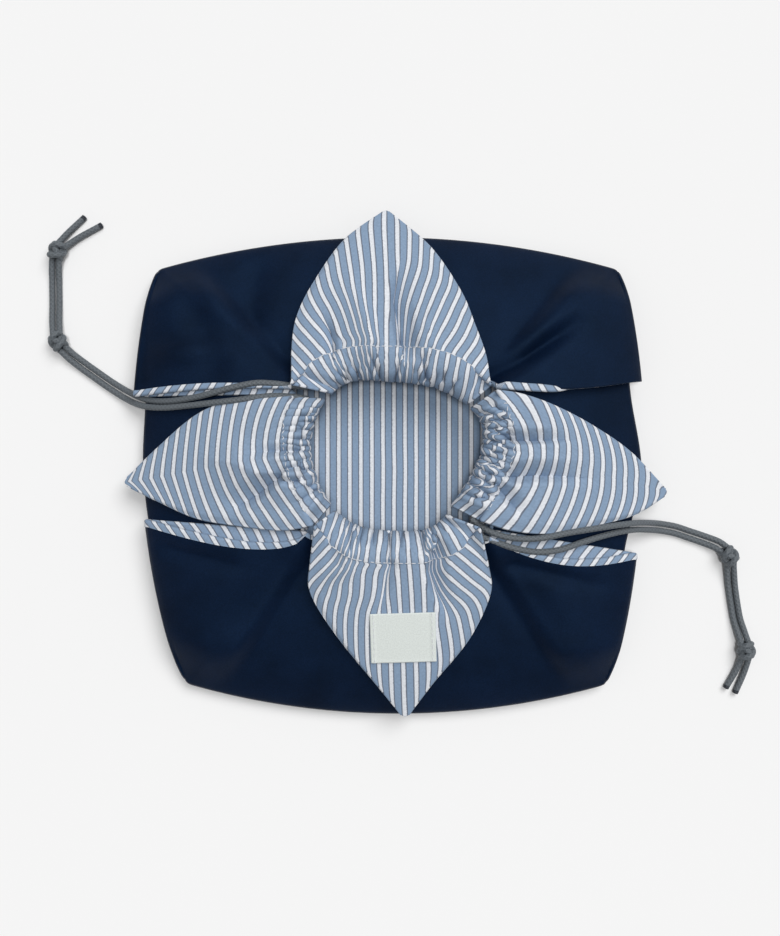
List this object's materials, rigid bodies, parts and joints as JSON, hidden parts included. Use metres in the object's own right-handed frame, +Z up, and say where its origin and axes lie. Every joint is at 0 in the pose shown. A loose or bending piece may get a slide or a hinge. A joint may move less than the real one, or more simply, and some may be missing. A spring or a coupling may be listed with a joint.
{
  "type": "bojagi pouch",
  "caption": "Lined cloth pouch drawn up from a square, its corners turned out into striped petals round a gathered mouth, with knotted drawcords at two sides, lying open.",
  "frame": {"origin": "on the surface it lies on, under the middle of the cloth, cords left out", "axes": "+Z up, +Y towards the petal opposite the label, +X towards the petal on its right seen from above"},
  "size_m": [0.3512, 0.2506, 0.0371],
  "materials": {
    "navy_cloth": "plain woven cotton, matt",
    "striped_cloth": "yarn-dyed shirting, matt",
    "label_tape": "woven cotton tape, matt",
    "drawcord": "braided cord, matt"
  },
  "bodies": {
    "root": {"outer_cloth": "navy_cloth", "lining": "striped_cloth", "petal_north": "striped_cloth", "petal_east": "striped_cloth", "petal_south": "striped_cloth", "petal_west": "striped_cloth", "label": "label_tape", "cord_left_upper": "drawcord", "cord_left_lower": "drawcord", "cord_right_upper": "drawcord", "cord_right_lower": "drawcord", "knot_left_inner": "drawcord", "knot_left_outer": "drawcord", "knot_right_inner": "drawcord", "knot_right_outer": "drawcord"}
  },
  "joints": []
}
